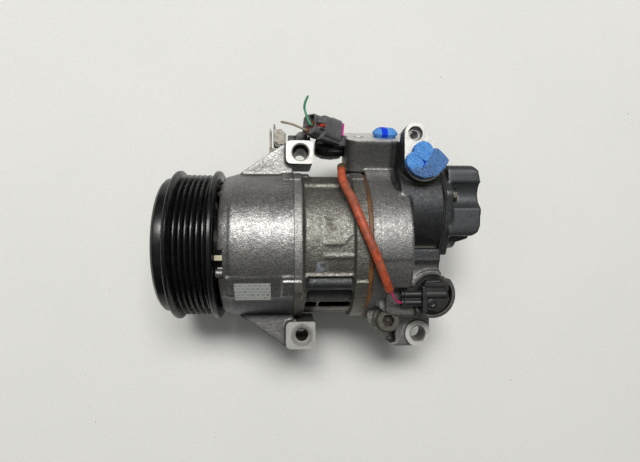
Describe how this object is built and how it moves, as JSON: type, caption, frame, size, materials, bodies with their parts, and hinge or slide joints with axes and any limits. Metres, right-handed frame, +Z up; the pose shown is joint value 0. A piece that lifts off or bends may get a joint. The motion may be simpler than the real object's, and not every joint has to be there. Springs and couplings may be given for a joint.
{
  "type": "automotive air-conditioning compressor",
  "caption": "Belt-driven swash-plate refrigerant compressor with ribbed pulley, cast aluminium housings, muffler lid, control valve and three mounting ears.",
  "frame": {"origin": "bottom centre of the whole object, lying on its side as it rests", "axes": "+X along the drive shaft from pulley to muffler lid, +Z up, the way the mounting bolt holes run, +Y towards the side port"},
  "size_m": [0.2122, 0.1708, 0.1104],
  "materials": {
    "cast_aluminium": "as-cast, fine grain, satin",
    "dirty_aluminium": "as-cast, pitted, grime in the joints",
    "dark_aluminium": "dark grey satin coating",
    "machined_aluminium": "bright machined",
    "steel": "plain steel, dull zinc",
    "black_paint": "glossy black coating on steel",
    "black_plastic": "satin black nylon",
    "grey_plastic": "satin grey nylon",
    "black_rubber": "matt",
    "amber_gasket": "amber-brown coated gasket",
    "blue_foam": "open-cell blue foam",
    "red_sleeve": "red-orange insulating sleeve, soiled",
    "magenta_wire": "insulated wire",
    "green_wire": "insulated wire",
    "tan_wire": "insulated wire",
    "brown_seal": "silicone wire seal",
    "red_lock": "red lock tab",
    "silver_label": null
  },
  "bodies": {
    "housing": {"front_housing": "cast_aluminium", "cylinder_block": "dirty_aluminium", "rear_housing": "cast_aluminium", "muffler_lid": "dark_aluminium", "lid_gasket": "black_rubber", "pulley_bearing": "steel", "bearing_snap_ring": "steel", "shaft_seal": "black_rubber", "front_bearing": "steel", "thrust_bearing": "steel", "housing_oring": "black_rubber", "rear_bearing": "steel", "suction_reed": "steel", "valve_plate": "steel", "discharge_reed": "steel", "head_gasket": "amber_gasket", "control_valve": "machined_aluminium", "valve_snap_ring": "steel", "valve_connector": "black_plastic", "relief_valve": "steel", "side_port_plug": "blue_foam", "top_port_plug": "blue_foam", "lead_sleeve": "red_sleeve", "lead_wire": "magenta_wire", "pigtail_connector": "black_plastic", "steel_bracket": "steel", "connector_clip": "black_plastic", "rating_label": "silver_label", "lid_bolt_1": "steel", "lid_bolt_2": "steel", "lid_bolt_3": "steel", "lid_bolt_4": "steel", "through_bolt_1": "steel", "piston_1": "machined_aluminium", "through_bolt_2": "steel", "piston_2": "machined_aluminium", "through_bolt_3": "steel", "piston_3": "machined_aluminium", "through_bolt_4": "steel", "piston_4": "machined_aluminium", "through_bolt_5": "steel", "piston_5": "machined_aluminium"},
    "rotor": {"pulley": "black_paint", "pulley_cover": "black_paint", "damper_rubber": "black_rubber", "drive_hub": "black_paint", "hub_nut": "steel", "drive_shaft": "steel", "lug_plate": "steel", "swash_plate": "steel", "hinge_pin": "steel", "swash_spring": "steel"},
    "harness_plug": {"harness_connector": "grey_plastic", "wire_seal_1": "brown_seal", "wire_seal_2": "brown_seal", "wire_stub_green": "green_wire", "wire_stub_tan": "tan_wire"},
    "capacity_plunger": {"control_valve_plunger": "steel"},
    "relief_poppet": {"relief_poppet": "steel"},
    "lock_tab": {"connector_lock": "red_lock"}
  },
  "joints": [
    {"name": "rotor_spin", "type": "hinge", "parent": "housing", "child": "rotor", "pos_m": [0, -0.0131, 0.052], "axis": [1, 0, 0], "continuous": true},
    {"name": "capacity_plunger_slide", "type": "slide", "parent": "housing", "child": "capacity_plunger", "axis": [0, 0, 1], "range_m": [0, 0.0015]},
    {"name": "relief_poppet_slide", "type": "slide", "parent": "housing", "child": "relief_poppet", "axis": [0, 0, 1], "range_m": [0, 0.0015]},
    {"name": "harness_plug_unplug", "type": "slide", "parent": "housing", "child": "harness_plug", "axis": [-0.7618, 0.0801, 0.6428], "range_m": [0, 0.016]},
    {"name": "lock_tab_slide", "type": "slide", "parent": "harness_plug", "child": "lock_tab", "axis": [-0.7618, 0.0801, 0.6428], "range_m": [0, 0.003]}
  ]
}
